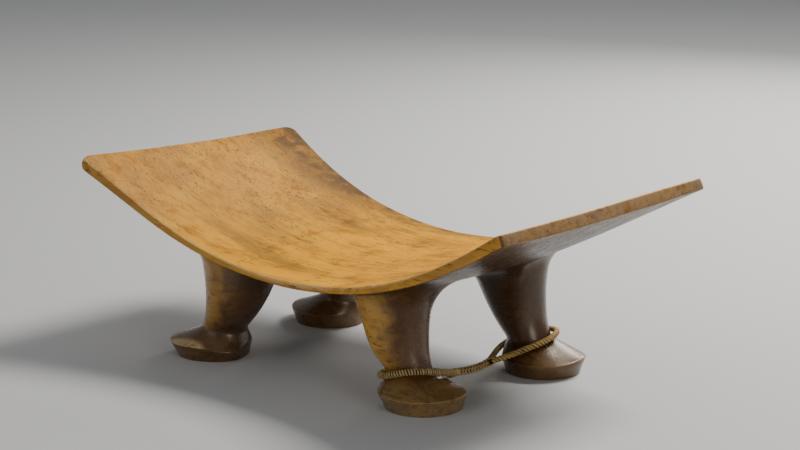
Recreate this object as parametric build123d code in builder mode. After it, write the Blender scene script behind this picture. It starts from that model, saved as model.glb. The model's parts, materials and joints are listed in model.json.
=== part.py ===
from build123d import *
from math import cos, exp, pi, radians, sin, sqrt, tan
import os

# Four-legged headrest carved from one block of wood, with a plant-fibre cord tied from the
# front ankle to the back ankle at its right-hand end.  Millimetres.  X runs along the
# headrest, Y across it from front to back, Z is up.  The origin is on the ground under the
# middle of the plate.

os.makedirs("parts", exist_ok=True)

# ---------------------------------------------------------------- driving dimensions: plate
PLATE_LENGTH = 332.0          # between the upper edges of the two ends
PLATE_WIDTH = 159.0           # across the middle
END_FLARE = 0.08              # the ends are wider than the middle by this fraction
FLARE_POWER = 2.5
SEAT_HEIGHT = 63.0            # upper surface at the lowest point
RISE_1 = 3.7                  # with s = x / half length, the upper surface rises by
RISE_2 = 47.0                 # RISE_1 s + RISE_2 s^2 + RISE_4 s^4 + RISE_6 s^6
RISE_4 = 20.0
RISE_6 = -16.0
TWIST = 2.5                   # the back edge is this much higher at the right-hand end
DISH = 0.8                    # hollow of the upper surface across the width, which fades
DISH_SKEW = 1.2               # out towards the right-hand end
EDGE_THICKNESS = 3.9          # at the long edges, in the middle of the length
EDGE_THICKNESS_GAIN = 2.6     # extra at the ends
CROWN_THICKNESS = 10.0        # on the centre line, in the middle of the length
CROWN_THICKNESS_LOSS = 3.0    # less at the ends
CORNER_RADIUS = 4.0
STATIONS = 13                 # cross-sections that the plate is lofted through

# ---------------------------------------------------------------- driving dimensions: legs
FEET = {                      # centre of each foot on the ground, the leg's place across the
    "front_right": (79.0, -50.0, -50.0, 1.0),       # plate at its top, and its stoutness
    "front_left": (-85.0, -55.0, -52.0, 1.07),
    "back_right": (82.0, 49.0, 45.0, 1.0),
    "back_left": (-86.0, 45.0, 46.0, 1.03),
}
SOLE_RADIUS = 21.5
RIM_RADIUS = 24.3             # the foot is widest at its rim, and undercut below it
RIM_HEIGHT = 9.0
RIM_SHIFT = {                 # of the rim over the sole
    "front_right": (-1.0, -0.8),
    "front_left": (-1.2, -0.9),
    "back_right": (0.2, 0.0),
    "back_left": (-0.4, 0.3),
}
CONE_SLOPE = 1.35             # loss of radius per unit of height, from the rim to the ankle
ANKLE_HEIGHT = 20.0
ANKLE_RADIUS = 12.9
TAPER_X = 0.30                # gain of half length per unit of height, above the ankle
TAPER_Y = 0.16                # gain of half width
BLEND = 2.5                   # how softly the cone of the foot runs into the ankle
LEAN = 25.0                   # the leg leans this far towards the middle of the headrest
LEAN_HEIGHT = 20.0
SHIFT_HEIGHT = 6.0            # above the rim, over which the rim's shift dies out
LOWER_HEIGHTS = (9.0, 10.0, 11.4, 13.2, 15.4, 18.0, 21.0, 25.0, 30.0, 36.0, 42.0)
# The upper sections lie over against the plate: depth below its underside, and the share of
# the underside's slope that they take.  The last one is inside the plate.
UPPER_SECTIONS = ((8.0, 0.5), (4.5, 0.8), (2.0, 0.95), (0.4, 1.0), (-2.2, 1.0))
FLARE_X = 14.0                # radius of the hollow where leg and plate meet
FLARE_Y = 7.0

# ---------------------------------------------------------------- driving dimensions: cord
CORD_DIAMETER = 3.4
SERVING_DIAMETER = 4.4        # over the winding round the span
SEIZING_DIAMETER = 4.8        # over the bindings where the loops close
NEAR_SEIZING_START = 0.2     # on its run, as a share; it ends where the serving starts
FAR_SEIZING_LENGTH = 6.0
RUN_SHARE = 0.45              # of the shorter run beside a point that its arc may use
ROUTE = [
    (77.9, -25.4, 12.9),      # loop round the front ankle, starting behind it
    (68.5, -28.2, 13.4),
    (60.0, -32.8, 13.5),
    (54.2, -41.0, 13.9),
    (52.6, -50.5, 15.0),
    (55.6, -60.0, 16.0),
    (62.0, -65.6, 16.8),
    (70.9, -66.2, 19.9),
    (78.6, -61.8, 21.9),
    (83.4, -54.2, 21.5),
    (85.0, -45.0, 19.4),
    (83.8, -36.8, 17.4),
    (82.0, -30.4, 15.6),      # span between the ankles
    (79.0, -18.5, 13.1),
    (75.6, -5.0, 10.9),
    (71.8, 7.5, 9.5),
    (67.6, 17.6, 8.8),
    (61.8, 29.2, 10.0),       # loop round the back ankle
    (57.4, 38.4, 10.9),
    (54.6, 48.2, 11.7),
    (55.0, 57.5, 14.2),
    (60.8, 64.4, 17.0),
    (69.5, 67.0, 19.4),
    (78.5, 64.8, 20.7),
    (85.2, 57.8, 21.3),
    (88.4, 48.0, 20.4),
    (87.0, 38.6, 18.6),
    (82.6, 30.6, 15.9),
    (78.6, 25.2, 13.6),
    (75.2, 20.4, 12.0),
    (72.6, 14.3, 10.7),
]
SPAN_START = 12               # the span's winding runs from the middle of this run
SPAN_END = 15                 # to the middle of this one

HALF_LENGTH = PLATE_LENGTH / 2
HALF_WIDTH = PLATE_WIDTH / 2


# ---------------------------------------------------------------- the plate's surfaces
def seat_z(x):
    """Height of the two upper long edges, without the twist."""
    s = x / HALF_LENGTH
    return SEAT_HEIGHT + RISE_1 * s + RISE_2 * s**2 + RISE_4 * s**4 + RISE_6 * s**6


def seat_slope(x):
    s = x / HALF_LENGTH
    return (RISE_1 + 2 * RISE_2 * s + 4 * RISE_4 * s**3 + 6 * RISE_6 * s**5) / HALF_LENGTH


def half_width(x):
    return HALF_WIDTH * (1 + END_FLARE * abs(x / HALF_LENGTH) ** FLARE_POWER)


def dish(x):
    return DISH - DISH_SKEW * (x / HALF_LENGTH) ** 3


def edge_thickness(x):
    return EDGE_THICKNESS + EDGE_THICKNESS_GAIN * (x / HALF_LENGTH) ** 2


def crown_thickness(x):
    return CROWN_THICKNESS - CROWN_THICKNESS_LOSS * (x / HALF_LENGTH) ** 6


def underside_z(x, y):
    """Height of the underside, near enough for seating the legs."""
    across = (y / half_width(x)) ** 2
    thickness = crown_thickness(x) + (edge_thickness(x) - crown_thickness(x)) * across
    return seat_z(x) - thickness + TWIST * (x / HALF_LENGTH) * (y / HALF_WIDTH)


def underside_normal(x, y):
    step = 1.0
    slope_x = (underside_z(x + step, y) - underside_z(x - step, y)) / (2 * step)
    slope_y = (underside_z(x, y + step) - underside_z(x, y - step)) / (2 * step)
    return Vector(-slope_x, -slope_y, 1).normalized()


def plate_plane(x):
    """Plane square to the plate's long curve at x: its own x across the width, its own y up."""
    along = Vector(1, 0, seat_slope(x)).normalized()
    up = Vector(-seat_slope(x), 0, 1).normalized()
    roll = TWIST * (x / HALF_LENGTH) / HALF_WIDTH
    across = Vector(0, 1, 0) * cos(roll) + up * sin(roll)
    return Plane(origin=(x, 0, seat_z(x)), x_dir=across, z_dir=along)


# ---------------------------------------------------------------- the leg's sections
def soft_max(a, b):
    return (a + b + sqrt((a - b) ** 2 + BLEND**2)) / 2


def leg_lean(z):
    """How far the leg's centre stands from the foot's centre, towards the middle."""
    return LEAN * (1 - exp(-(z - RIM_HEIGHT) / LEAN_HEIGHT))


def leg_centre(name, z):
    """Centre of the leg's section at height z."""
    foot_x, foot_y, top_y, _ = FEET[name]
    shift_x, shift_y = RIM_SHIFT[name]
    inward = -1 if foot_x > 0 else 1
    rise = (z - RIM_HEIGHT) / (SEAT_HEIGHT - RIM_HEIGHT)
    shift = exp(-((z - RIM_HEIGHT) / SHIFT_HEIGHT) ** 2)
    return (foot_x + inward * leg_lean(z) + shift_x * shift,
            foot_y + (top_y - foot_y) * rise + shift_y * shift)


def leg_half(z, taper, girth):
    """Half length or half width of a level section of the foot's top, ankle and leg."""
    cone = RIM_RADIUS - CONE_SLOPE * (z - RIM_HEIGHT)
    shaft = girth * (ANKLE_RADIUS + taper * (z - ANKLE_HEIGHT))
    if z <= RIM_HEIGHT:
        return RIM_RADIUS
    return soft_max(cone, shaft)


def flare(depth, radius):
    """Widening of the leg close under the plate, as a quarter-round hollow."""
    rise = min(max(radius - depth, 0.0), radius)
    return radius - sqrt(radius**2 - rise**2)


def build_leg(name):
    """Foot, ankle and leg as one form, ending inside the plate."""
    foot_x, foot_y, _, girth = FEET[name]
    top_x, top_y = leg_centre(name, SEAT_HEIGHT)
    normal = underside_normal(top_x, top_y)
    with BuildPart() as leg:
        with BuildSketch(Plane.XY):
            with Locations((foot_x, foot_y)):
                Circle(SOLE_RADIUS)
        with BuildSketch(Plane.XY.offset(RIM_HEIGHT)):
            with Locations(leg_centre(name, RIM_HEIGHT)):
                Circle(RIM_RADIUS)
        loft(ruled=True)
        for z in LOWER_HEIGHTS:
            with BuildSketch(Plane.XY.offset(z)):
                with Locations(leg_centre(name, z)):
                    Ellipse(leg_half(z, TAPER_X, girth), leg_half(z, TAPER_Y, girth))
        for depth, share in UPPER_SECTIONS:
            centre = Vector(top_x, top_y, underside_z(top_x, top_y)) - normal * depth
            lean_dir = (Vector(0, 0, 1) * (1 - share) + normal * share).normalized()
            side = Vector(1, 0, -lean_dir.X / lean_dir.Z).normalized()
            half_x = leg_half(centre.Z, TAPER_X, girth) + flare(depth, FLARE_X)
            half_y = leg_half(centre.Z, TAPER_Y, girth) + flare(depth, FLARE_Y)
            with BuildSketch(Plane(origin=centre, x_dir=side, z_dir=lean_dir)):
                Ellipse(half_x, half_y)
        loft()
    return leg.part


# ---------------------------------------------------------------- the carved wooden body
with BuildPart() as plate:
    for i in range(STATIONS):
        x = -HALF_LENGTH + PLATE_LENGTH * i / (STATIONS - 1)
        w = half_width(x)
        edge = edge_thickness(x)
        with BuildSketch(plate_plane(x)):
            with BuildLine():
                ThreePointArc((-w, 0), (0, -dish(x)), (w, 0))
                Line((w, 0), (w, -edge))
                ThreePointArc((w, -edge), (0, -crown_thickness(x)), (-w, -edge))
                Line((-w, -edge), (-w, 0))
            make_face()
    loft()
    corner_edges = plate.edges().filter_by(lambda e: e.length < CROWN_THICKNESS)
    fillet(corner_edges, CORNER_RADIUS)

with BuildPart() as carved_headrest:
    add(plate.part)
    for name in FEET:
        add(build_leg(name))


# ---------------------------------------------------------------- the cord
def turn_radius(points, i):
    """Largest arc that point i of a route can take within its share of the two runs."""
    before = Vector(*points[i]) - Vector(*points[i - 1])
    after = Vector(*points[i + 1]) - Vector(*points[i])
    half_turn = radians(before.get_angle(after)) / 2
    return RUN_SHARE * min(before.length, after.length) / tan(half_turn)


def along_run(i, share):
    """Point on the run that starts at point i of the route."""
    start = Vector(*ROUTE[i])
    return start + (Vector(*ROUTE[i + 1]) - start) * share


radii = [turn_radius(ROUTE, i) for i in range(1, len(ROUTE) - 1)]

with BuildPart() as cord:
    with BuildLine():
        cord_path = FilletPolyline(*ROUTE, radius=radii)
    with BuildSketch(Plane(origin=cord_path @ 0, z_dir=cord_path % 0)):
        Circle(CORD_DIAMETER / 2)
    sweep(path=cord_path)

# winding of finer fibre over the span
span_points = [along_run(SPAN_START, 0.5), *ROUTE[SPAN_START + 1:SPAN_END + 1], along_run(SPAN_END, 0.5)]
with BuildPart() as span_serving:
    with BuildLine():
        span_path = FilletPolyline(*span_points, radius=radii[SPAN_START:SPAN_END])
    with BuildSketch(Plane(origin=span_path @ 0, z_dir=span_path % 0)):
        Circle(SERVING_DIAMETER / 2)
    sweep(path=span_path)
    add(cord.part, mode=Mode.SUBTRACT)

# bindings that close the two loops, each round the standing cord and the cord's end beside it
near_first = along_run(SPAN_START, NEAR_SEIZING_START)
near_along = along_run(SPAN_START, 0.5) - near_first
near_beside = Vector(*ROUTE[0]) - near_first - near_along * 0.5
near_beside -= near_along * (near_beside.dot(near_along) / near_along.length**2)
far_first = along_run(SPAN_END, 0.5)
far_along = (along_run(SPAN_END, 1.0) - far_first).normalized() * FAR_SEIZING_LENGTH
far_beside = Vector(*ROUTE[-1]) - far_first
far_beside -= far_along * (far_beside.dot(far_along) / far_along.length**2)

with BuildPart() as near_seizing:
    with BuildSketch(Plane(origin=near_first + near_beside / 2, x_dir=near_beside, z_dir=near_along)):
        SlotCenterToCenter(near_beside.length, SEIZING_DIAMETER)
    extrude(amount=near_along.length)
    add(cord.part, mode=Mode.SUBTRACT)

with BuildPart() as far_seizing:
    with BuildSketch(Plane(origin=far_first + far_beside / 2, x_dir=far_beside, z_dir=far_along)):
        SlotCenterToCenter(far_beside.length, SEIZING_DIAMETER)
    extrude(amount=far_along.length)
    add(cord.part, mode=Mode.SUBTRACT)


# ---------------------------------------------------------------- the pieces
pieces = {
    "carved_headrest": carved_headrest,
    "cord": cord,
    "span_serving": span_serving,
    "near_seizing": near_seizing,
    "far_seizing": far_seizing,
}
for name, piece in pieces.items():
    piece.part.label = name
    export_step(piece.part, f"parts/{name}.step")

cord_area = pi * CORD_DIAMETER**2 / 4
print("cord radii", [round(r, 1) for r in radii])
print("cord length", round(cord_path.length, 1))
print("cord volume", round(cord.part.volume, 1), "from its section", round(cord_area * cord_path.length, 1))
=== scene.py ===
import json
from math import cos, pi, radians, sin

import bmesh
import bpy
import numpy as np
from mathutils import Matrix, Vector, kdtree, noise


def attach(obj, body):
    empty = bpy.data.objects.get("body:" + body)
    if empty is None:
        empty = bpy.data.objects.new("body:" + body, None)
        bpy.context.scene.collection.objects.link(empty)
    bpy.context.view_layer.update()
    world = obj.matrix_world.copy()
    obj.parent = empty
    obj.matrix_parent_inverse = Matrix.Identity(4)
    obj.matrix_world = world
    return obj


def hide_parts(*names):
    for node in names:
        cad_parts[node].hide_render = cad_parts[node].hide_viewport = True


# A headrest carved from one block of wood, with a plant-fibre cord tied between the two
# ankles at its right-hand end. X runs along the headrest, Y across it, Z is up.

MM = 0.001
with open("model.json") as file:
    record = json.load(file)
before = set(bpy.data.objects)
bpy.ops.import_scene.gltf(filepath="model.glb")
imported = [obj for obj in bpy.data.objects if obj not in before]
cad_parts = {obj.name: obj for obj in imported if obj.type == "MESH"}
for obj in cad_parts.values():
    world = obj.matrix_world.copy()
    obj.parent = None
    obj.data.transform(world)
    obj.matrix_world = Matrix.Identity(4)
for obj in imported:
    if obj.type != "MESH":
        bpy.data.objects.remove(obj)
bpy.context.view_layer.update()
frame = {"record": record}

# ---------------------------------------------------------------- camera
CAMERA_TARGET = Vector((0.0003, 0.0156, 0.0789))
CAMERA_DISTANCE = 1.341
CAMERA_AZIMUTH = radians(43.0)       # from -Y towards +X
CAMERA_ELEVATION = radians(12.7)
CAMERA_LENS = 103.4

to_camera = Vector((sin(CAMERA_AZIMUTH) * cos(CAMERA_ELEVATION),
                    -cos(CAMERA_AZIMUTH) * cos(CAMERA_ELEVATION),
                    sin(CAMERA_ELEVATION)))
camera_data = bpy.data.cameras.new("camera")
camera_data.lens = CAMERA_LENS
camera = bpy.data.objects.new("camera", camera_data)
bpy.context.scene.collection.objects.link(camera)
camera.location = CAMERA_TARGET + to_camera * CAMERA_DISTANCE
camera.rotation_euler = to_camera.to_track_quat("Z", "Y").to_euler()
bpy.context.scene.camera = camera


# ---------------------------------------------------------------- mesh making
class Surface:
    """Points in millimetres and faces of one mesh, added loop by loop."""

    def __init__(self):
        self.blocks = []
        self.faces = []
        self.count = 0

    def add(self, points):
        points = np.asarray(points, float)
        size = points.size // 3
        index = np.arange(self.count, self.count + size)
        self.blocks.append(points.reshape(-1, 3))
        self.count += size
        return index.reshape(points.shape[:-1])

    def join(self, upper, lower):
        """Quads between two closed loops of the same length."""
        after = np.roll(np.arange(len(upper)), -1)
        self.faces += np.stack([upper, lower, lower[after], upper[after]], -1).tolist()

    def step(self, above, ring):
        """Add a loop below another one, and return it."""
        below = self.add(ring)
        self.join(above, below)
        return below

    def cap(self, loop, point):
        middle = int(self.add([point])[0])
        self.faces += [[int(p), middle, int(q)] for p, q in zip(loop, np.roll(loop, -1))]

    def grid(self, index, keep):
        cells = np.stack([index[:-1, :-1], index[1:, :-1], index[1:, 1:], index[:-1, 1:]], -1)
        self.faces += cells[keep].tolist()

    def tube(self, line, radius, sides):
        """Round tube with closed ends along a line of points."""
        line = np.asarray(line, float)
        _, across, up = moving_axes(line)
        angle = np.arange(sides) * 2 * pi / sides
        spoke = across[:, None] * np.cos(angle)[:, None] + up[:, None] * np.sin(angle)[:, None]
        rings = line[:, None] + spoke * np.broadcast_to(radius, len(line))[:, None, None]
        above = self.add(rings[0])
        self.cap(above, line[0])
        for ring in rings[1:]:
            above = self.step(above, ring)
        self.cap(above, line[-1])

    def finish(self, name, node):
        """The mesh as a piece that rides on the body, replacing a CAD node."""
        used = np.unique(np.concatenate([np.array(face) for face in self.faces]))
        place = np.full(self.count, -1)
        place[used] = np.arange(len(used))
        points = np.concatenate(self.blocks)[used] * MM
        mesh = bpy.data.meshes.new(name)
        mesh.from_pydata(points.tolist(), [], [place[face].tolist() for face in self.faces])
        work = bmesh.new()
        work.from_mesh(mesh)
        bmesh.ops.recalc_face_normals(work, faces=work.faces)
        work.to_mesh(mesh)
        work.free()
        mesh.polygons.foreach_set("use_smooth", [True] * len(mesh.polygons))
        piece = bpy.data.objects.new(name, mesh)
        bpy.context.scene.collection.objects.link(piece)
        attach(piece, "root")
        if node:
            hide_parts(node)
        return piece


def unit(vectors):
    return vectors / np.linalg.norm(vectors, axis=-1, keepdims=True)


def moving_axes(line):
    """Tangent and two normals at each point of a line, without twist from point to point."""
    tangent = unit(np.gradient(line, axis=0))
    across = np.zeros_like(line)
    start = np.cross(tangent[0], (0.0, 0.0, 1.0))
    across[0] = unit(start)
    for i in range(1, len(line)):
        carried = across[i - 1] - tangent[i] * across[i - 1].dot(tangent[i])
        across[i] = unit(carried)
    return tangent, across, np.cross(tangent, across)


def distance_along(line):
    return np.concatenate([[0], np.cumsum(np.linalg.norm(np.diff(line, axis=0), axis=1))])


# ---------------------------------------------------------------- the cord
CORD_DIAMETER = 0.0034
ROUTE = [
    (0.0779, -0.0254, 0.0129),      # loop round the front ankle, starting behind it
    (0.0685, -0.0282, 0.0134),
    (0.0600, -0.0328, 0.0135),
    (0.0542, -0.0410, 0.0139),
    (0.0526, -0.0505, 0.0150),
    (0.0556, -0.0600, 0.0160),
    (0.0620, -0.0656, 0.0168),
    (0.0709, -0.0662, 0.0199),
    (0.0786, -0.0618, 0.0219),
    (0.0834, -0.0542, 0.0215),
    (0.0850, -0.0450, 0.0194),
    (0.0838, -0.0368, 0.0174),
    (0.0820, -0.0304, 0.0156),      # span between the ankles
    (0.0790, -0.0185, 0.0131),
    (0.0756, -0.0050, 0.0109),
    (0.0718, 0.0075, 0.0095),
    (0.0676, 0.0176, 0.0088),
    (0.0618, 0.0292, 0.0100),       # loop round the back ankle
    (0.0574, 0.0384, 0.0109),
    (0.0546, 0.0482, 0.0117),
    (0.0550, 0.0575, 0.0142),
    (0.0608, 0.0644, 0.0170),
    (0.0695, 0.0670, 0.0194),
    (0.0785, 0.0648, 0.0207),
    (0.0852, 0.0578, 0.0213),
    (0.0884, 0.0480, 0.0204),
    (0.0870, 0.0386, 0.0186),
    (0.0826, 0.0306, 0.0159),
    (0.0786, 0.0252, 0.0136),
    (0.0752, 0.0204, 0.0120),
    (0.0726, 0.0143, 0.0107),
]
LINE_STEPS = 24                     # points of the smooth line between two of these
SPAN_FIRST = 12                     # the span's braid runs from the middle of this run
SPAN_LAST = 15                      # to the middle of this one
NEAR_BINDING = (0.2, 0.5)           # on run SPAN_FIRST, as shares of it
NEAR_BINDING_TURNS = 5
FAR_BINDING_TURNS = 7.5
FAR_BINDING_LENGTH = 6.0
BINDING_FIBRE = 0.42                # radius of the fibre
BINDING_SLACK = 0.15                # from the cord's surface to the fibre's middle line
BINDING_STEPS = 28                  # points on each turn


def read_centreline():
    """Points of the cord's smooth line, in millimetres."""
    curve = bpy.data.curves.new("cord_line", "CURVE")
    curve.dimensions = "3D"
    curve.resolution_u = LINE_STEPS
    spline = curve.splines.new("NURBS")
    spline.points.add(len(ROUTE) - 1)
    for point, place in zip(spline.points, ROUTE):
        point.co = (*place, 1.0)
    spline.order_u = 3
    spline.use_endpoint_u = True
    holder = bpy.data.objects.new("cord_line", curve)
    mesh = bpy.data.meshes.new_from_object(holder)
    points = np.array([vertex.co for vertex in mesh.vertices]) / MM
    bpy.data.objects.remove(holder)
    return points


def on_run(first, share):
    """Point on the straight run between two points of the route, in millimetres."""
    start = np.array(ROUTE[first]) / MM
    return start + (np.array(ROUTE[first + 1]) / MM - start) * share


centreline = read_centreline()
cord_distance = distance_along(centreline)
LOOP_RADIUS = 1.12                  # of the bare cord inside the near loop's winding
ROPE_RADIUS = 1.78                  # of the twisted cord of the far loop
THICKENING_START = 2.0              # how far before the span's end the cord starts to thicken
THICKENING_LENGTH = 3.0
PLIES = 3
PLY_PITCH = 6.6                     # distance in which one ply goes once round
PLY_STEP = 0.35
PLY_SHARE = 0.47                    # a ply's radius, as a share of the cord's
PLY_TURN_WOBBLE = 0.35              # how unevenly the plies turn, in radians
PLY_SIZE_WOBBLE = 0.08              # and how unevenly thick they are, as a share
WINDING_START = 1.0                 # from the cord's end
WINDING_STOP = 2.0                  # before the span
WINDING_FIBRE = 0.72                # radius of the fibre
WINDING_TURN = 1.22                 # and of its turns
WINDING_PITCH = WINDING_FIBRE * 2.1
WINDING_STEPS = 12                  # points on each turn
WINDING_WOBBLE = 0.16
BRAID_STRANDS = 3                   # each way round
BRAID_PITCH = 11.5
BRAID_RADIUS = 1.25
BRAID_WEAVE = 0.28                  # how far a strand goes in and out over its neighbours
BRAID_STRAND = 0.78                 # radius of one strand
BRAID_STEP = 0.3


def nearest(point):
    """Distance along the cord of its point nearest to this one."""
    return cord_distance[np.linalg.norm(centreline - point, axis=1).argmin()]


def resample(start, end, step):
    """Points along the cord between two distances, and those distances."""
    s = np.linspace(start, end, max(int((end - start) / step), 2))
    line = np.stack([np.interp(s, cord_distance, centreline[:, axis]) for axis in range(3)], -1)
    return line, s


def round_the_line(line, angle, radius):
    """Points beside a line, at an angle round it and a distance from it."""
    _, across, up = moving_axes(line)
    radius = np.broadcast_to(radius, len(line))[:, None]
    return line + radius * (across * np.cos(angle)[:, None] + up * np.sin(angle)[:, None])


span_start = nearest(on_run(SPAN_FIRST, 0.5))
span_end = nearest(on_run(SPAN_LAST, 0.5))


def lay_cord():
    """Twisted plies, thinner inside the near loop's winding and the span's braid."""
    surface = Surface()
    line, s = resample(0, cord_distance[-1], PLY_STEP)
    share = np.clip((s - span_end + THICKENING_START) / THICKENING_LENGTH, 0, 1)
    radius = LOOP_RADIUS + (ROPE_RADIUS - LOOP_RADIUS) * share
    for k in range(PLIES):
        wobble = np.array([noise.noise(Vector((v * 0.25, k * 7.0, 0.0))) for v in s])
        angle = 2 * pi * (s / PLY_PITCH + k / PLIES) + PLY_TURN_WOBBLE * wobble
        ply = radius * PLY_SHARE * (1 + PLY_SIZE_WOBBLE * wobble)
        surface.tube(round_the_line(line, angle, radius * (1 - PLY_SHARE)), ply, sides=12)
    return surface.finish("cord_fibres", "cord")


def wind_loop():
    """Fine fibre wound closely over the near loop."""
    surface = Surface()
    start = WINDING_START
    end = span_start - WINDING_STOP
    turns = (end - start) / WINDING_PITCH
    line, s = resample(start, end, (end - start) / (turns * WINDING_STEPS))
    wobble = np.array([noise.noise(Vector((v * 0.6, 0.0, 3.0))) for v in s])
    angle = 2 * pi * turns * (s - start) / (end - start)
    radius = WINDING_TURN + WINDING_WOBBLE * wobble
    surface.tube(round_the_line(line, angle, radius), WINDING_FIBRE, sides=6)
    return surface.finish("loop_winding", None)


def braid_span():
    """Tubular braid over the cord between the ankles."""
    surface = Surface()
    line, s = resample(span_start - 1.0, span_end + 1.0, BRAID_STEP)
    for way in (-1, 1):
        for k in range(BRAID_STRANDS):
            angle = way * 2 * pi * (s / BRAID_PITCH + k / BRAID_STRANDS)
            weave = way * np.cos(BRAID_STRANDS * 2 * pi * s / BRAID_PITCH)
            radius = BRAID_RADIUS + BRAID_WEAVE * weave
            surface.tube(round_the_line(line, angle, radius), BRAID_STRAND, sides=8)
    return surface.finish("span_braid", "span_serving")


def bind(name, node, first, along, beside, turns):
    """Fibre wound round two strands: the one through first, and another one beside it."""
    surface = Surface()
    t = np.linspace(0, 1, int(turns * BINDING_STEPS))
    half = np.linalg.norm(beside) / 2
    sideways = beside / (2 * half)
    square = unit(np.cross(along, sideways))
    angle = 2 * pi * turns * t
    reach = CORD_DIAMETER / MM / 2 + BINDING_SLACK
    out = reach * np.cos(angle) + np.clip(np.cos(angle) * 3, -1, 1) * half
    line = (first + beside / 2 + along * t[:, None]
            + sideways * out[:, None] + square * (reach * np.sin(angle))[:, None])
    surface.tube(line, BINDING_FIBRE, sides=8)
    return surface.finish(name, node)


def square_to(vector, direction):
    """The part of a vector that is square to a direction."""
    return vector - direction * vector.dot(direction) / direction.dot(direction)


def bind_near():
    first = on_run(SPAN_FIRST, NEAR_BINDING[0])
    along = on_run(SPAN_FIRST, NEAR_BINDING[1]) - first
    beside = square_to(np.array(ROUTE[0]) / MM - first, along)
    return bind("near_binding", "near_seizing", first, along, beside, NEAR_BINDING_TURNS)


def bind_far():
    first = on_run(SPAN_LAST, 0.5)
    along = unit(on_run(SPAN_LAST, 1.0) - first) * FAR_BINDING_LENGTH
    beside = square_to(np.array(ROUTE[-1]) / MM - first, along)
    return bind("far_binding", "far_seizing", first, along, beside, FAR_BINDING_TURNS)


cord_tree = kdtree.KDTree(len(centreline))
for i, point in enumerate(centreline):
    cord_tree.insert(point, i)
cord_tree.balance()


def from_cord(place):
    """How far a point is from the cord's middle line, in millimetres."""
    return cord_tree.find(place)[2]


def mark_heights(piece):
    """Store each point's height over the cord's middle line, for the fibre's colour: painted shade in
    its grooves and painted highlight on its crests.
    """
    heights = [from_cord(vertex.co / MM) for vertex in piece.data.vertices]
    piece.data.attributes.new("height", "FLOAT", "POINT").data.foreach_set("value", heights)


cord = lay_cord()
loop_winding = wind_loop()
span_braid = braid_span()
near_binding = bind_near()
far_binding = bind_far()
for piece in (cord, loop_winding, span_braid, near_binding, far_binding):
    mark_heights(piece)

# ---------------------------------------------------------------- the plate's surfaces
PLATE_LENGTH = 332.0
PLATE_WIDTH = 159.0
END_FLARE = 0.08
FLARE_POWER = 2.5
SEAT_HEIGHT = 63.0
SEAT_RISES = {1: 3.7, 2: 47.0, 4: 20.0, 6: -16.0}    # by power of x / half length
TWIST = 2.5
DISH = 0.8
DISH_SKEW = 1.2
EDGE_THICKNESS = 3.9
EDGE_THICKNESS_GAIN = 2.6
LEFT_TIP_GAIN = 1.6
CROWN_THICKNESS = 10.0
CROWN_THICKNESS_LOSS = 3.0
HALF_LENGTH = PLATE_LENGTH / 2
HALF_WIDTH = PLATE_WIDTH / 2
CORNER_RADII = {(-1, -1): 7.5, (-1, 1): 7.0, (1, 1): 4.5, (1, -1): 2.5}
# how far three of the corners stray from the regular plate: along X, along Y, and upwards
CORNER_STRAY = {(-1, -1): (-1.0, -1.9, 0.0), (-1, 1): (0.5, 5.0, 0.5), (1, -1): (-3.5, -1.7, 2.1)}
TOP_ARRIS = 0.9
TOP_ARRIS_WORN = 1.3                # more, where the long edges are worn near the middle
WORN_MIDDLE = 0.12                  # where that is along the plate, from -1 to 1
WORN_SPREAD = 0.38
BOTTOM_ARRIS = 0.8
TIP_WEAR = 1.7                      # more on both, at the front left corner


def seat_z(x):
    s = x / HALF_LENGTH
    return SEAT_HEIGHT + sum(rise * s**power for power, rise in SEAT_RISES.items())


def seat_slope(x):
    s = x / HALF_LENGTH
    return sum(power * rise * s ** (power - 1) for power, rise in SEAT_RISES.items()) / HALF_LENGTH


def thickness(x, y):
    """Square to the plate, from the chord of its upper surface to the underside."""
    s = x / HALF_LENGTH
    edge = EDGE_THICKNESS + EDGE_THICKNESS_GAIN * s**2 + LEFT_TIP_GAIN * np.maximum(-s, 0) ** 8
    crown = CROWN_THICKNESS - CROWN_THICKNESS_LOSS * s**6
    return crown + (edge - crown) * (y / HALF_WIDTH) ** 2


def top_height(x, y):
    dish = DISH - DISH_SKEW * (x / HALF_LENGTH) ** 3
    return -dish * (1 - (y / HALF_WIDTH) ** 2)


def plate_point(x, y, height):
    """Point at x, y of the plate's plan, this far above the chord of its upper surface."""
    x, y, height = np.broadcast_arrays(x, y, height)
    s = x / HALF_LENGTH
    t = y / HALF_WIDTH
    for (sx, sy), stray in CORNER_STRAY.items():
        share = np.maximum(sx * s, 0) ** 6 * np.maximum(sy * t, 0) ** 2
        x = x + stray[0] * share
        y = y + stray[1] * share
        height = height + stray[2] * share
    slope = seat_slope(x)
    length = np.sqrt(1 + slope**2)
    roll = TWIST * (x / HALF_LENGTH) / HALF_WIDTH
    lateral = y * (1 + END_FLARE * np.abs(x / HALF_LENGTH) ** FLARE_POWER)
    rise = height + lateral * np.sin(roll)
    return np.stack([x - rise * slope / length,
                     lateral * np.cos(roll),
                     seat_z(x) + rise / length], -1)


def underside_z(x, y):
    """Height of the underside over the ground at x, y."""
    plan_x = np.array(x, float)
    plan_y = np.array(y, float)
    for _ in range(5):
        found = plate_point(plan_x, plan_y, -thickness(plan_x, plan_y))
        plan_x = plan_x + (x - found[..., 0])
        plan_y = plan_y + (y - found[..., 1])
    return found[..., 2]


# ---------------------------------------------------------------- legs and feet
SOLES = {mount["name"].removeprefix("sole_"): Vector(mount["pos_m"]) / MM
         for mount in frame["record"]["mounts"] if mount["name"].startswith("sole_")}
TOP_Y = {"front_right": -50.0, "front_left": -52.0, "back_right": 45.0, "back_left": 46.0}
GIRTH = {"front_right": 1.0, "front_left": 1.07, "back_right": 1.0, "back_left": 1.03}
RIM_SHIFT = {"front_right": (-1.0, -0.8), "front_left": (-1.2, -0.9),
             "back_right": (0.2, 0.0), "back_left": (-0.4, 0.3)}
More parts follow.
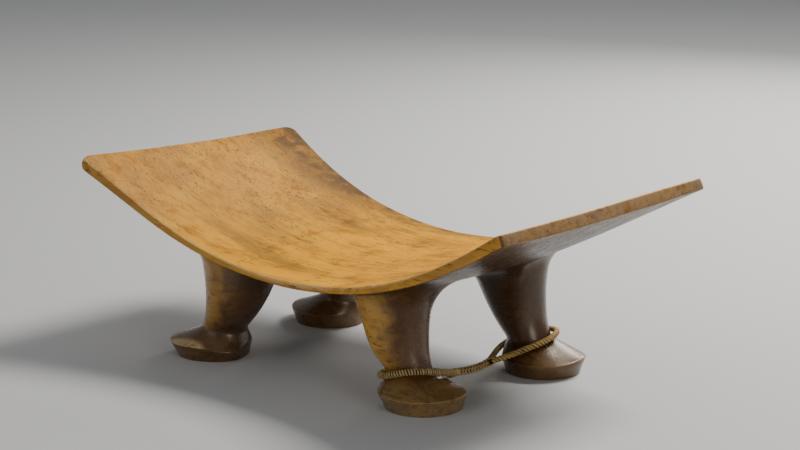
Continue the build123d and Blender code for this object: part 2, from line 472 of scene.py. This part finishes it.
# each foot's rim has one corner: its bearing in degrees, extra radius, and drop
RIM_CORNER = {"front_right": (28, 0.9, 0.3), "front_left": (-18, 3.0, 2.6),
              "back_right": (14, 0.9, -1.8), "back_left": (190, 0.6, -0.8)}
CORNER_SPREAD = radians(24)
# how far an ankle swells on one side, and where
SWELLING = {"front_right": 1.5}
SWELLING_BEARING = radians(223)
SWELLING_HEIGHT = 31.0
SWELLING_SPREAD = 9.0
SOLE_RADIUS = 21.5
RIM_RADIUS = 24.3
RIM_HEIGHT = 9.0
CONE_SLOPE = 1.35
ANKLE_HEIGHT = 20.0
ANKLE_RADIUS = 12.9
TAPER_X = 0.30
TAPER_Y = 0.16
BLEND = 2.5
LEAN = 25.0
LEAN_HEIGHT = 20.0
SHIFT_HEIGHT = 6.0
FLARE_MEAN = 10.0                    # radius of the hollow between leg and plate
FLARE_SWING = 6.0                    # more on the side away from the nearest corner's edge
HOLLOW_PULL = 0.6                    # how round that hollow is


class Leg:
    """Surface of one leg and foot, by bearing round its centre and height."""

    def __init__(self, name):
        self.foot = SOLES[name]
        self.inward = -1.0 if self.foot.x > 0 else 1.0
        self.side = -1.0 if self.foot.y < 0 else 1.0
        self.top_y = TOP_Y[name]
        self.girth = GIRTH[name]
        self.shift = RIM_SHIFT[name]
        bearing, self.corner_radius, self.corner_drop = RIM_CORNER[name]
        self.corner_bearing = radians(bearing)
        self.swelling = SWELLING.get(name, 0.0)

    def centre(self, z):
        above_rim = np.maximum(np.asarray(z, float) - RIM_HEIGHT, 0)
        lean = LEAN * (1 - np.exp(-above_rim / LEAN_HEIGHT))
        rise = above_rim / (SEAT_HEIGHT - RIM_HEIGHT)
        shift = np.exp(-((above_rim / SHIFT_HEIGHT) ** 2))
        return (self.foot.x + self.inward * lean + self.shift[0] * shift,
                self.foot.y + (self.top_y - self.foot.y) * rise + self.shift[1] * shift)

    def half(self, z, taper):
        cone = RIM_RADIUS - CONE_SLOPE * (z - RIM_HEIGHT)
        shaft = self.girth * (ANKLE_RADIUS + taper * (z - ANKLE_HEIGHT))
        return (cone + shaft + np.sqrt((cone - shaft) ** 2 + BLEND**2)) / 2

    def corner(self, bearing):
        """1 at the rim's corner, falling to 0 away from it."""
        away = np.angle(np.exp(1j * (bearing - self.corner_bearing)))
        return np.exp(-((away / CORNER_SPREAD) ** 2))

    def point(self, bearing, z):
        """On the leg or the foot's top; near the rim the foot's corner is added."""
        z = np.broadcast_to(np.asarray(z, float), bearing.shape)
        cx, cy = self.centre(z)
        a = self.half(z, TAPER_X)
        b = self.half(z, TAPER_Y)
        r = 1 / np.sqrt((np.cos(bearing) / a) ** 2 + (np.sin(bearing) / b) ** 2)
        near_rim = self.corner(bearing) * np.exp(-np.maximum(z - RIM_HEIGHT, 0) / 3.0)
        at_ankle = np.exp(-(((z - SWELLING_HEIGHT) / SWELLING_SPREAD) ** 2))
        at_side = np.maximum(np.cos(bearing - SWELLING_BEARING), 0)
        r = r + self.corner_radius * near_rim + self.swelling * at_ankle * at_side
        return np.stack([cx + r * np.cos(bearing), cy + r * np.sin(bearing),
                         z - self.corner_drop * near_rim], -1)

    def under_rim(self, bearing, radius, z):
        """On the foot's side and sole, radius from the sole's centre to that of the rim."""
        share = z / RIM_HEIGHT
        r = radius + self.corner_radius * self.corner(bearing) * (0.55 + 0.45 * share)
        drop = self.corner_drop * self.corner(bearing) * share
        return np.stack([self.foot.x + self.shift[0] * share + r * np.cos(bearing),
                         self.foot.y + self.shift[1] * share + r * np.sin(bearing),
                         z - drop], -1)

    def flare(self, bearing):
        turn = (-self.inward * np.cos(bearing) - self.side * np.sin(bearing)) / 2**0.5
        return FLARE_MEAN + FLARE_SWING * turn


# ---------------------------------------------------------------- the carved body
EDGE_CELL = 0.8               # the grid's cells grow from this at the plate's edges
EDGE_GROWTH = 1.25
EDGE_CELLS = 7
INNER_CELL = 3.0
WINDOW_X = 36.0               # half size of the patch of the underside that a leg grows from
WINDOW_IN = 29.0              # the same towards the plate's middle line
WINDOW_OUT = 24.5             # and towards its long edge
FLAT_RINGS = 3
HOLLOW_RINGS = 8
SHAFT_RINGS = 14
FOOT_RINGS = 14
SHAFT_FOOT = 27.0             # level where the sloping upper rings have become level ones
# loops under the rim, as radius and height
FOOT_SIDE = ((RIM_RADIUS + 0.02, RIM_HEIGHT), (RIM_RADIUS - 0.10, RIM_HEIGHT - 0.45),
             (RIM_RADIUS - 0.55, RIM_HEIGHT - 2.4), (SOLE_RADIUS + 1.0, 4.2),
             (SOLE_RADIUS + 0.4, 1.8), (SOLE_RADIUS, 0.6), (SOLE_RADIUS - 0.3, 0.15),
             (SOLE_RADIUS - 1.2, 0.0), (SOLE_RADIUS * 0.75, 0.0), (SOLE_RADIUS * 0.45, 0.0),
             (SOLE_RADIUS * 0.18, 0.0))


def grid_lines(half):
    """Places of the grid's lines from -1 to 1, closer together towards the ends."""
    edge = EDGE_CELL * EDGE_GROWTH ** np.arange(EDGE_CELLS)
    inner = 2 * (half - edge.sum())
    count = round(inner / INNER_CELL)
    steps = np.concatenate([edge, np.full(count, inner / count), edge[::-1]])
    return np.concatenate([[0], np.cumsum(steps)]) / half - 1


def tip_wear(a, b):
    """Extra radius of both arrises where the front left corner is worn round."""
    return TIP_WEAR * np.maximum(-a, 0) ** 14 * np.maximum(-b, 0) ** 6


def top_arris(a, b):
    """Radius of the upper arris, at a along and b across the plate from -1 to 1."""
    worn = np.exp(-(((a - WORN_MIDDLE) / WORN_SPREAD) ** 2))
    return TOP_ARRIS + TOP_ARRIS_WORN * worn + tip_wear(a, b)


def bottom_arris(a, b):
    return BOTTOM_ARRIS + tip_wear(a, b)


def plan(a, b, inset):
    """Plan position of the grid point a, b (each -1 to 1), with the corners rounded."""
    half_x = HALF_LENGTH - inset
    half_y = HALF_WIDTH - inset
    x = a * half_x
    y = b * half_y
    for (sx, sy), radius in CORNER_RADII.items():
        r = radius - inset
        px = np.maximum((sx * x - half_x + r) / r, 1e-9)
        py = np.maximum((sy * y - half_y + r) / r, 1e-9)
        inside = (px > 1e-6) & (py > 1e-6)
        scale = np.maximum(px, py) / np.hypot(px, py)
        x = np.where(inside, sx * (half_x - r + r * px * scale), x)
        y = np.where(inside, sy * (half_y - r + r * py * scale), y)
    return x, y


def rectangle_loop(i0, i1, j0, j1):
    """Grid indices round a rectangle of the grid, in order."""
    i = [*range(i0, i1), *[i1] * (j1 - j0), *range(i1, i0, -1), *[i0] * (j1 - j0)]
    j = [*[j0] * (i1 - i0), *range(j0, j1), *[j1] * (i1 - i0), *range(j1, j0, -1)]
    return np.array(i), np.array(j)


def edge_profile():
    """Loops round the plate's edge: inset and drop in upper arris radii, share of the side
    face's height, inset and drop in lower arris radii."""
    quarter = [pi / 6, pi / 3, pi / 2]
    upper = [(1 - sin(t), 1 - cos(t), 0.0, 0.0, 0.0) for t in quarter]
    lower = [(0.0, 1.0, 1.0, 1 - cos(t), sin(t)) for t in (0.0, pi / 6, pi / 3)]
    return [*upper, (-0.1, 1.0, 0.5, 0.0, 0.0), *lower]


def grow_leg(surface, leg, loop, edge):
    """Rings from a loop of the underside's grid down to the sole."""
    level = SEAT_HEIGHT - CROWN_THICKNESS
    cx, cy = leg.centre(level)
    bearing = np.arctan2((edge[:, 1] - cy) / WINDOW_IN, (edge[:, 0] - cx) / WINDOW_X)
    meet = leg.point(bearing, level)
    for _ in range(6):
        meet = leg.point(bearing, underside_z(meet[:, 0], meet[:, 1]))
    gap = edge - meet
    reach = np.linalg.norm(gap[:, :2], axis=1)
    flare = np.minimum(leg.flare(bearing), reach * 0.94)
    start = meet + gap * (flare / reach)[:, None]
    start[:, 2] = underside_z(start[:, 0], start[:, 1])
    end = leg.point(bearing, meet[:, 2] - flare)
    above = loop
    for k in range(1, FLAT_RINGS + 1):
        ring = edge + (start - edge) * k / FLAT_RINGS
        ring[:, 2] = underside_z(ring[:, 0], ring[:, 1])
        above = surface.step(above, ring)
    first_pull = start + (meet - start) * HOLLOW_PULL
    last_pull = end + (meet - end) * HOLLOW_PULL
    for k in range(1, HOLLOW_RINGS + 1):
        t = k / HOLLOW_RINGS
        ring = ((1 - t) ** 3 * start + 3 * (1 - t) ** 2 * t * first_pull
                + 3 * (1 - t) * t**2 * last_pull + t**3 * end)
        above = surface.step(above, ring)
    top = meet[:, 2] - flare
    for k in range(1, SHAFT_RINGS + 1):
        above = surface.step(above, leg.point(bearing, top + (SHAFT_FOOT - top) * k / SHAFT_RINGS))
    for k in range(1, FOOT_RINGS + 1):
        z = SHAFT_FOOT + (RIM_HEIGHT + 0.35 - SHAFT_FOOT) * k / FOOT_RINGS
        above = surface.step(above, leg.point(bearing, z))
    for radius, z in FOOT_SIDE:
        above = surface.step(above, leg.under_rim(bearing, radius, z))
    surface.cap(above, leg.foot)


def grid_window(points, leg):
    """Grid rows and columns of the patch of the underside that the leg grows from."""
    cx, cy = leg.centre(SEAT_HEIGHT - CROWN_THICKNESS)
    y_in = cy - leg.side * WINDOW_IN
    y_out = cy + leg.side * WINDOW_OUT
    row = points[:, points.shape[1] // 2, 0]
    column = points[points.shape[0] // 2, :, 1]
    i0, i1 = (int(np.abs(row - v).argmin()) for v in (cx - WINDOW_X, cx + WINDOW_X))
    j0, j1 = sorted(int(np.abs(column - v).argmin()) for v in (y_in, y_out))
    return i0, i1, j0, j1


def carve_headrest():
    surface = Surface()
    a, b = np.meshgrid(grid_lines(HALF_LENGTH), grid_lines(HALF_WIDTH), indexing="ij")
    rows, columns = a.shape[0] - 1, a.shape[1] - 1
    rim = rectangle_loop(0, rows, 0, columns)

    x, y = plan(a, b, top_arris(a, b))
    top = surface.add(plate_point(x, y, top_height(x, y)))
    surface.grid(top, np.ones((rows, columns), bool))
    above = top[rim]
    upper = top_arris(a[rim], b[rim])
    lower = bottom_arris(a[rim], b[rim])
    for inset, drop, share, low_inset, low_drop in edge_profile():
        x, y = plan(a[rim], b[rim], inset * upper + low_inset * lower)
        face = thickness(x, y) + top_height(x, y) - upper - lower
        depth = drop * upper + share * face + low_drop * lower
        above = surface.step(above, plate_point(x, y, top_height(x, y) - depth))

    x, y = plan(a, b, bottom_arris(a, b))
    under_points = plate_point(x, y, -thickness(x, y))
    under = surface.add(under_points)
    surface.join(above, under[rim])
    keep = np.ones((rows, columns), bool)
    for name in SOLES:
        leg = Leg(name)
        i0, i1, j0, j1 = grid_window(under_points, leg)
        keep[i0:i1, j0:j1] = False
        loop = rectangle_loop(i0, i1, j0, j1)
        grow_leg(surface, leg, under[loop], under_points[loop])
    surface.grid(under, keep)
    return surface.finish("carved_body", "carved_headrest")


HAND_SCALE = 38.0             # size of the unevenness of hand carving
HAND_DEPTH = 0.45
FACET_SCALE = 15.0            # size of the flats that the blade left on legs and feet
FACET_DEPTH = 0.22
GROUND_FADE = (0.5, 3.5)      # heights over which the unevenness sets in
LEG_FADE = (60, 52)           # heights over which the plate gives way to a leg
RUB_REACH = 5.0               # how close to the cord's middle line the wood is rubbed away
RUB_DEPTH = 0.55


def fade(value, start, end):
    """0 up to start, 1 from end on, and straight between."""
    return min(max((value - start) / (end - start), 0), 1)


def roughen(body):
    """Push the surface in and out a little, as hand carving and the cord leave it."""
    mesh = body.data
    normals = [vertex.normal.copy() for vertex in mesh.vertices]
    for vertex, normal in zip(mesh.vertices, normals):
        place = vertex.co / MM
        above_ground = fade(place.z, *GROUND_FADE)
        on_leg = fade(place.z, *LEG_FADE)
        swell = noise.noise(place / HAND_SCALE) * HAND_DEPTH * (0.5 + 0.5 * on_leg)
        facet = noise.noise(place / FACET_SCALE + Vector((9, 4, 2))) * FACET_DEPTH * on_leg
        wear_and_arris_highlight = fade(from_cord(place), RUB_REACH, RUB_REACH / 2) * RUB_DEPTH
        vertex.co += normal * ((swell + facet) * above_ground - wear_and_arris_highlight) * MM


body = carve_headrest()
roughen(body)
smoothing = body.modifiers.new("smoothing", "SUBSURF")
smoothing.levels = 1
smoothing.render_levels = 1


# ---------------------------------------------------------------- shader nodes
class Shader:
    """One material, and short ways to add nodes to it."""

    def __init__(self, name):
        self.material = bpy.data.materials.new(name)
        self.material.use_nodes = True
        self.tree = self.material.node_tree
        self.place = self.add("TexCoord").outputs["Object"]
        self.geometry = self.add("NewGeometry").outputs

    def connect(self, socket, value):
        """Set an input socket to a constant, or link it to an output socket."""
        if isinstance(value, bpy.types.NodeSocket):
            self.tree.links.new(value, socket)
        else:
            socket.default_value = value

    def add(self, kind, inputs=(), **settings):
        node = self.tree.nodes.new("ShaderNode" + kind)
        for name, value in settings.items():
            setattr(node, name, value)
        for name, value in dict(inputs).items():
            self.connect(node.inputs[name], value)
        return node

    def surface(self, inputs):
        principled = self.tree.nodes["Principled BSDF"]
        for name, value in inputs.items():
            self.connect(principled.inputs[name], value)

    def calculate(self, operation, a, b=0.0):
        return self.add("Math", {0: a, 1: b}, operation=operation).outputs[0]

    def product(self, *factors):
        total = factors[0]
        for factor in factors[1:]:
            total = self.calculate("MULTIPLY", total, factor)
        return total

    def total(self, *terms):
        total = terms[0]
        for term in terms[1:]:
            total = self.calculate("ADD", total, term)
        return total

    def magnitude(self, value):
        return self.calculate("ABSOLUTE", value)

    def ramp(self, value, low, high, start=0.0, end=1.0):
        """Smooth step from start, where value is low, to end, where it is high."""
        inputs = {"Value": value, "From Min": low, "From Max": high,
                  "To Min": start, "To Max": end}
        return self.add("MapRange", inputs, interpolation_type="SMOOTHSTEP").outputs[0]

    def mix(self, factor, a, b, blend_type="MIX"):
        return self.add("Mix", {0: factor, 6: a, 7: b}, data_type="RGBA",
                        blend_type=blend_type).outputs[2]

    def darken(self, factor, base, shade):
        return self.mix(factor, base, shade, "MULTIPLY")

    def stretched(self, vector, scale):
        return self.add("Mapping", {"Vector": vector, "Scale": scale}).outputs[0]

    def cloud(self, vector, scale, detail=3.0, roughness=0.5, distortion=0.0):
        inputs = {"Vector": vector, "Scale": scale, "Detail": detail, "Roughness": roughness,
                  "Distortion": distortion}
        return self.add("TexNoise", inputs).outputs[0]

    def bump(self, height, strength, distance):
        inputs = {"Height": height, "Strength": strength, "Distance": distance}
        return self.add("Bump", inputs).outputs[0]


# ---------------------------------------------------------------- wood
HONEY = (0.82, 0.375, 0.006, 1)          # the seat's ground colour
STRAW = (0.95, 0.50, 0.016, 1)           # its lighter patches
DEEP_GOLD = (0.97, 0.43, 0.003, 1)       # its middle and right: partly deeper gold wood, partly painted light on the level seat
TAN = (0.55, 0.280, 0.070, 1)            # its left end, and a painted highlight on the arrises
CREAM = (0.95, 0.70, 0.36, 1)            # painted highlight on the long upper arrises
AMBER = (0.50, 0.235, 0.010, 1)          # the seat's darker bands
SMUDGE = (0.25, 0.135, 0.024, 1)         # its smudges
SCORCH = (0.105, 0.056, 0.016, 1)        # its dark back left
SIDE_TAN = (0.49, 0.262, 0.058, 1)       # the plate's long sides
END_TAN = (0.215, 0.148, 0.086, 1)       # its end faces
GOLD = (0.70, 0.375, 0.050, 1)           # rubbed faces of the front legs
PATINA = (0.046, 0.021, 0.008, 1)        # legs, with UMBER
UMBER = (0.098, 0.044, 0.013, 1)
DULL = (0.22, 0.135, 0.048, 1)           # the feet, with UMBER; less of it on the left feet as painted shade
KHAKI = (0.40, 0.275, 0.115, 1)          # the front right foot
SMOKE = (0.062, 0.036, 0.020, 1)         # the underside
SPECK = (0.085, 0.034, 0.010, 1)         # pits, dashes and the corner's dark line
GRAIN_SHADE = (0.58, 0.46, 0.30, 1)      # multiplied into the colour along the grain
STAIN_SHADE = (0.66, 0.55, 0.40, 1)      # multiplied into it in patches
SHINE_TINT = (1.0, 0.88, 0.74, 1)
DARK_LINE_Y = -0.0843                        # a dark line painted down the front right corner's end face
# stretches, in metres, over which one part of the wood gives way to the next
SEAT_Z = (0.050, 0.058)
UNDERSIDE_Z = (0.045, 0.058)
LONG_SIDE_Y = (0.0745, 0.0775)
LONG_ARRIS_Y = (0.0735, 0.0770)
END_FACE_X = (0.155, 0.159)
GOLD_AND_LIGHT_X = (-0.10, -0.01)
LEFT_END_X = (-0.05, -0.16)
SCORCHED_X = (-0.04, -0.125)
SCORCHED_Y = (0.040, 0.074)
BACK_EDGE_X = (0.06, -0.04)
BACK_EDGE_Y = (0.066, 0.079)
FRONT_LEGS_Y = (0.01, -0.01)
RIGHT_LEGS_X = (-0.03, 0.03)
ABOVE_CORD_Z = (0.016, 0.028)
FOOT_Z = (0.0185, 0.013)
FRONT_RIGHT_X = (0.0, 0.02)
FRONT_RIGHT_Y = (0.0, -0.02)


class Wood(Shader):
    """Oiled pale wood above, and handled dark wood below."""

    def __init__(self):
        super().__init__("wood")
        self.x, self.y, self.z = self.add("SeparateXYZ", {0: self.place}).outputs
        self.normal = self.add("SeparateXYZ", {0: self.geometry["Normal"]}).outputs
        wander = self.add("TexNoise", {"Vector": self.place, "Scale": 9.0}).outputs[1]
        drift = self.add("VectorMath", {0: wander, 1: (0.012, 0.012, 0.012)},
                         operation="MULTIPLY").outputs[0]
        self.wavy = self.add("VectorMath", {0: self.place, 1: drift}, operation="ADD").outputs[0]
        # patterns that run along the grain, coarse to fine
        self.bands = self.grain(5.0, 46.0, 4.0)
        self.streaks = self.grain(14.0, 330.0, 4.0)
        self.dashes = self.grain(95.0, 800.0, 2.0)
        self.fibres = self.grain(70.0, 1700.0, 2.0)
        # patterns without a direction, coarse to fine
        self.blotches = self.cloud(self.place, 17.0, 5.0, 0.6, 0.6)
        self.stains = self.cloud(self.place, 33.0, 2.0)
        self.mottle = self.cloud(self.place, 62.0, 5.0, 0.65, 0.3)
        self.pale = self.where_pale()
        self.underside = self.product(self.ramp(self.normal[2], -0.55, -0.9),
                                      self.ramp(self.z, *UNDERSIDE_Z))

    def grain(self, along, across, detail):
        vector = self.stretched(self.wavy, (along, across, across))
        return self.cloud(vector, 1.0, detail, 0.6, 0.3)

    def where_pale(self):
        """1 on the seat and on the plate's narrow sides, 0 below."""
        high = self.ramp(self.z, *SEAT_Z)
        seat = self.ramp(self.normal[2], 0.2, 0.55)
        upright = self.ramp(self.magnitude(self.normal[2]), 0.93, 0.6)
        long_edge = self.ramp(self.magnitude(self.y), *LONG_SIDE_Y)
        end_edge = self.ramp(self.magnitude(self.x), *END_FACE_X)
        facing_end = self.ramp(self.magnitude(self.normal[0]), 0.4, 0.7)
        self.long_side = self.product(long_edge, high, upright)
        self.end_face = self.product(end_edge, high, upright, facing_end)
        return self.calculate("MAXIMUM", self.product(seat, high),
                              self.calculate("MAXIMUM", self.long_side, self.end_face))

    def seat_colour(self):
        """Honey-coloured bands and patches, smudged with use, darker at the back left."""
        colour = self.mix(self.ramp(self.bands, 0.36, 0.62), AMBER, HONEY)
        colour = self.mix(self.ramp(self.blotches, 0.47, 0.64, 0.0, 0.8), colour, STRAW)
        # partly painted light: DEEP_GOLD brightens the level middle and right of the seat, lit more
        # than its tilted left end
        gold_and_painted_light = self.product(self.ramp(self.x, *GOLD_AND_LIGHT_X),
                              self.ramp(self.mottle, 0.3, 0.6), 0.75)
        colour = self.mix(gold_and_painted_light, colour, DEEP_GOLD)
        smudges = self.grain(9.0, 27.0, 5.0)
        colour = self.mix(self.ramp(smudges, 0.48, 0.68, 0.0, 0.75), colour, SMUDGE)
        left = self.ramp(self.total(self.x, self.product(self.blotches, -0.06)), *LEFT_END_X)
        colour = self.mix(self.product(left, 0.65), colour, TAN)
        scorched = self.product(self.ramp(self.y, *SCORCHED_Y), self.ramp(self.x, *SCORCHED_X),
                                self.ramp(self.mottle, 0.26, 0.54), 0.92)
        colour = self.mix(scorched, colour, SCORCH)
        back_edge = self.product(self.ramp(self.y, *BACK_EDGE_Y), self.ramp(self.x, *BACK_EDGE_X),
                                 self.ramp(self.mottle, 0.34, 0.6), 0.85)
        return self.mix(back_edge, colour, SCORCH)

    def pale_wood(self):
        """The seat and the plate's narrow sides, with the fine grain over both."""
        colour = self.seat_colour()
        patchy = self.ramp(self.mottle, 0.3, 0.7, 0.45, 0.95)
        colour = self.mix(self.product(self.long_side, patchy), colour, SIDE_TAN)
        dull = self.ramp(self.mottle, 0.3, 0.7, 0.8, 1.0)
        colour = self.mix(self.product(self.end_face, dull), colour, END_TAN)
        ribbons = self.grain(6.0, 120.0, 4.0)
        colour = self.darken(self.ramp(ribbons, 0.50, 0.34, 0.0, 0.35), colour, GRAIN_SHADE)
        colour = self.darken(self.ramp(self.streaks, 0.50, 0.30, 0.0, 0.55), colour, GRAIN_SHADE)
        return self.darken(self.ramp(self.mottle, 0.48, 0.30, 0.0, 0.8), colour, STAIN_SHADE)

    def long_arris_highlight(self):
        """1 on the rounded upper edges of the plate's long sides, where a highlight is painted in
        CREAM.
        """
        return self.product(self.ramp(self.magnitude(self.y), *LONG_ARRIS_Y),
                            self.ramp(self.magnitude(self.normal[1]), 0.15, 0.40),
                            self.ramp(self.normal[2], 0.15, 0.45),
                            self.ramp(self.mottle, 0.30, 0.60, 0.4, 1.0))

    def dark_wood(self):
        """Patina on the legs, feet and underside, rubbed golden on the legs' left faces; the left and
        back feet get less of the lighter foot colour, on the left feet as painted shade.
        """
        colour = self.mix(self.ramp(self.blotches, 0.35, 0.65), PATINA, UMBER)
        facing_left = self.total(self.product(self.normal[0], -0.75),
                                 self.product(self.normal[1], -0.25))
        worn = self.total(facing_left, self.product(self.mottle, 1.1), -0.50)
        front_leg = self.ramp(self.y, *FRONT_LEGS_Y)
        right_leg = self.ramp(self.x, *RIGHT_LEGS_X, 0.55, 1.0)
        above_cord = self.ramp(self.z, *ABOVE_CORD_Z, 0.25, 1.0)
        worn = self.product(self.ramp(worn, -0.30, 0.62), front_leg, right_leg, above_cord)
        colour = self.mix(worn, colour, GOLD)
        foot = self.ramp(self.z, *FOOT_Z)
        foot_colour = self.mix(self.ramp(self.mottle, 0.38, 0.62), UMBER, DULL)
        front_right = self.product(self.ramp(self.x, *FRONT_RIGHT_X),
                                   self.ramp(self.y, *FRONT_RIGHT_Y))
        foot_colour = self.mix(self.product(front_right, 0.32), foot_colour, KHAKI)
        # painted shade: the left feet get less of the lighter foot colour, as they stand in shade;
        # the back feet get less too
        foot_share_with_painted_shade = self.product(self.ramp(self.y, *FRONT_LEGS_Y, 0.35, 0.85),
                                  self.ramp(self.x, *RIGHT_LEGS_X, 0.5, 1.0))
        colour = self.mix(self.product(foot, foot_share_with_painted_shade), colour, foot_colour)
        colour = self.mix(self.product(self.underside, 0.8), colour, SMOKE)
        return self.darken(self.ramp(self.streaks, 0.55, 0.32, 0.0, 0.6), colour, GRAIN_SHADE)

    def marks(self):
        """Pits, dashes along the grain, and a dark line down the front right corner's end face."""
        dots = self.add("TexVoronoi", {"Vector": self.stretched(self.wavy, (185.0, 370.0, 370.0)),
                                       "Scale": 1.0, "Randomness": 1.0}).outputs["Distance"]
        dots = self.total(dots, self.product(self.mottle, 0.7), -0.35)
        pits = self.product(self.ramp(dots, 0.17, 0.07), self.ramp(self.stains, 0.46, 0.58))
        scratches = self.product(self.ramp(self.dashes, 0.41, 0.34),
                                 self.ramp(self.stains, 0.36, 0.52))
        # a dark line painted in SPECK down the corner's end face
        from_dark_line = self.magnitude(self.total(self.y, -DARK_LINE_Y, self.product(self.stains, 0.002)))
        dark_line = self.product(self.ramp(from_dark_line, 0.0012, 0.0005), self.end_face,
                             self.ramp(self.x, 0.0, 0.01))
        marks = self.calculate("MAXIMUM", pits, self.product(scratches, 0.8))
        return self.calculate("MAXIMUM", marks, dark_line)

    def build(self):
        colour = self.mix(self.pale, self.dark_wood(), self.pale_wood())
        # painted highlight: TAN laid along the sharp arrises, where the rounded edges catch the light
        wear_and_arris_highlight = self.product(self.ramp(self.geometry["Pointiness"], 0.515, 0.56),
                              self.ramp(self.mottle, 0.3, 0.55),
                              self.ramp(self.end_face, 0.0, 1.0, 0.6, 0.2))
        colour = self.mix(wear_and_arris_highlight, colour, TAN)
        # painted highlight: CREAM along the long upper arrises
        colour = self.mix(self.product(self.long_arris_highlight(), 0.5), colour, CREAM)
        marks = self.marks()
        colour = self.mix(self.product(marks, 0.85), colour, SPECK)
        relief = self.total(self.product(self.streaks, 0.6), self.product(self.fibres, 0.5),
                            self.product(marks, -1.6), self.product(self.mottle, 0.8))
        roughness = self.total(self.ramp(self.mottle, 0.3, 0.7, -0.05, 0.08),
                               self.ramp(self.pale, 0.0, 1.0, 0.28, 0.42),
                               self.product(marks, 0.3))
        shine = self.ramp(self.underside, 0.0, 1.0, 1.0, 0.25)
        specular = self.product(self.ramp(self.pale, 0.0, 1.0, 0.5, 0.22), shine)
        polish = self.product(self.ramp(self.pale, 0.0, 1.0, 0.35, 0.0), shine)
        self.surface({"Base Color": colour,
                      "Roughness": roughness,
                      "Specular IOR Level": specular,
                      "Specular Tint": SHINE_TINT,
                      "Coat Weight": polish,
                      "Coat Roughness": 0.25,
                      "Normal": self.bump(relief, 0.45, 0.0003)})
        return self.material


# ---------------------------------------------------------------- plant fibre
# each fibre's colours, mixed with its own patches and painted as shade in its grooves and highlight
# on its crests, and how far those grooves and crests are from the cord's middle line, in millimetres
FIBRES = {
    "rope_fibre": ((0.012, 0.007, 0.003, 1), (0.41, 0.265, 0.065, 1), 1.05, 1.72),
    "braid_fibre": ((0.030, 0.016, 0.006, 1), (0.42, 0.275, 0.100, 1), 1.45, 2.1),
    "winding_fibre": ((0.010, 0.006, 0.003, 1), (0.46, 0.335, 0.125, 1), 1.38, 1.86),
}


def fibre_material(name):
    """Dull plant fibre, with painted shade in its grooves and a painted highlight on its crests."""
    dark_fibre_and_groove_shade, light_fibre_and_crest_highlight, groove, crest = FIBRES[name]
    shader = Shader(name)
    patches = shader.cloud(shader.place, 330.0, 3.0, 0.6)
    hairs = shader.cloud(shader.place, 1400.0, 3.0, 0.7)
    height = shader.add("Attribute", attribute_name="height").outputs["Fac"]
    # painted shade and highlight: the fibre is darker in its grooves and lighter on its crests, by
    # height over the cord's middle line
    share = shader.total(shader.product(patches, 0.9), shader.product(hairs, 0.5),
                         shader.ramp(height, groove, crest, -0.45, 0.20))
    shader.surface({"Base Color": shader.mix(shader.ramp(share, 0.35, 0.95), dark_fibre_and_groove_shade, light_fibre_and_crest_highlight),
                    "Roughness": shader.ramp(hairs, 0.3, 0.7, 0.5, 0.8),
                    "Sheen Weight": 0.1,
                    "Normal": shader.bump(hairs, 0.6, 0.0002)})
    return shader.material


body.data.materials.append(Wood().build())
cord.data.materials.append(fibre_material("rope_fibre"))
span_braid.data.materials.append(fibre_material("braid_fibre"))
winding_fibre = fibre_material("winding_fibre")
for piece in (loop_winding, near_binding, far_binding):
    piece.data.materials.append(winding_fibre)

# ---------------------------------------------------------------- floor and light
FLOOR_HALF = 6.0
FLOOR_GREY = (0.575, 0.60, 0.63, 1)
SKY_GREY = (0.85, 0.85, 0.85, 1)
SKY_STRENGTH = 0.25
floor_mesh = bpy.data.meshes.new("floor")
floor_corners = [(x * FLOOR_HALF, y * FLOOR_HALF, 0) for x, y in ((-1, -1), (1, -1), (1, 1), (-1, 1))]
floor_mesh.from_pydata(floor_corners, [], [(0, 1, 2, 3)])
floor = bpy.data.objects.new("floor", floor_mesh)
bpy.context.scene.collection.objects.link(floor)
floor_paint = Shader("floor_paint")
floor_paint.surface({"Base Color": FLOOR_GREY, "Roughness": 0.8})
floor_mesh.materials.append(floor_paint.material)

world = bpy.data.worlds.new("world")
bpy.context.scene.world = world
world.use_nodes = True
sky = world.node_tree.nodes["Background"]
sky.inputs["Color"].default_value = SKY_GREY
sky.inputs["Strength"].default_value = SKY_STRENGTH

TO_RIGHT = Vector((cos(CAMERA_AZIMUTH), sin(CAMERA_AZIMUTH), 0))
AWAY = Vector((-sin(CAMERA_AZIMUTH), cos(CAMERA_AZIMUTH), 0))
AIM = Vector((0, 0, 0.05))
WARM_WHITE = (1.0, 0.935, 0.85)


def softbox(name, sideways, depth, height, size, power):
    """Square area light, placed as the camera sees it and aimed at the headrest."""
    data = bpy.data.lights.new(name, "AREA")
    data.size = size
    data.energy = power
    data.color = WARM_WHITE
    lamp = bpy.data.objects.new(name, data)
    bpy.context.scene.collection.objects.link(lamp)
    lamp.location = TO_RIGHT * sideways + AWAY * depth + Vector((0, 0, height))
    lamp.rotation_euler = (lamp.location - AIM).to_track_quat("Z", "Y").to_euler()


softbox("key", sideways=0.70, depth=0.45, height=1.05, size=0.50, power=21.5)
softbox("back", sideways=0.50, depth=1.00, height=0.48, size=0.45, power=4.0)
softbox("front", sideways=0.65, depth=-1.05, height=0.32, size=0.45, power=2.8)
softbox("fill", sideways=-1.2, depth=-0.9, height=0.8, size=1.2, power=3.2)
